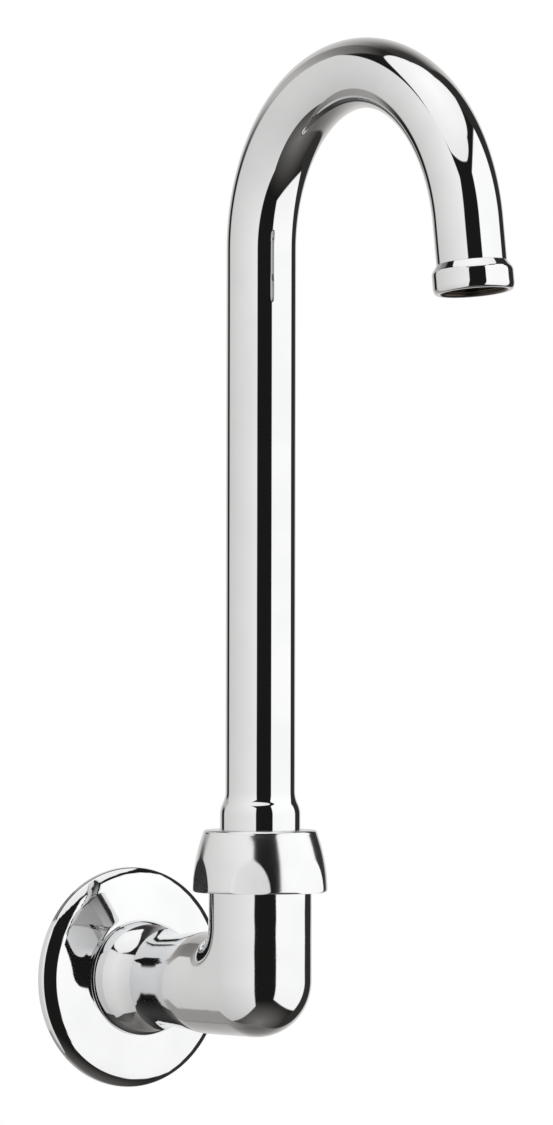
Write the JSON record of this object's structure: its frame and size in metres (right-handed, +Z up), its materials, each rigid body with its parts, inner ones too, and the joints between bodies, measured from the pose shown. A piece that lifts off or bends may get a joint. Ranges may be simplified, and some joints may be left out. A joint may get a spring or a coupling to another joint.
{
  "type": "wall-mounted gooseneck spout",
  "caption": "Chrome-plated wall spout: a round flange and cast elbow carry a swinging gooseneck tube on a union nut, with a female-threaded collar at its outlet.",
  "frame": {"origin": "centre of the elbow's inlet mouth, in the plane of the wall", "axes": "+Z up along the riser, +Y into the wall along the inlet, so the spout reaches towards -Y"},
  "size_m": [0.0572, 0.1599, 0.2706],
  "materials": {
    "chrome_plate": "polished chrome plate on brass",
    "bare_brass": "turned, unplated",
    "black_rubber": "matte moulded rubber",
    "acetal": "white acetal, turned",
    "stainless": "bright stainless steel"
  },
  "bodies": {
    "base": {"wall_flange": "chrome_plate", "flange_gasket": "black_rubber", "flange_grip_ring": "black_rubber", "elbow_body": "chrome_plate", "coupling_nut": "chrome_plate", "thrust_washer": "acetal", "friction_washer": "acetal"},
    "spout": {"split_ring": "stainless", "swivel_stem": "bare_brass", "upper_o_ring": "black_rubber", "lower_o_ring": "black_rubber", "stem_bearing": "acetal", "flow_control_housing": "acetal", "flow_control_ring": "black_rubber", "flow_screen": "stainless", "spout_tube": "chrome_plate", "outlet_collar": "chrome_plate"}
  },
  "joints": [
    {"name": "spout_swing", "type": "hinge", "parent": "base", "child": "spout", "pos_m": [0, -0.0587, 0.02], "axis": [0, 0, 1], "range_deg": [-120, 120]}
  ]
}
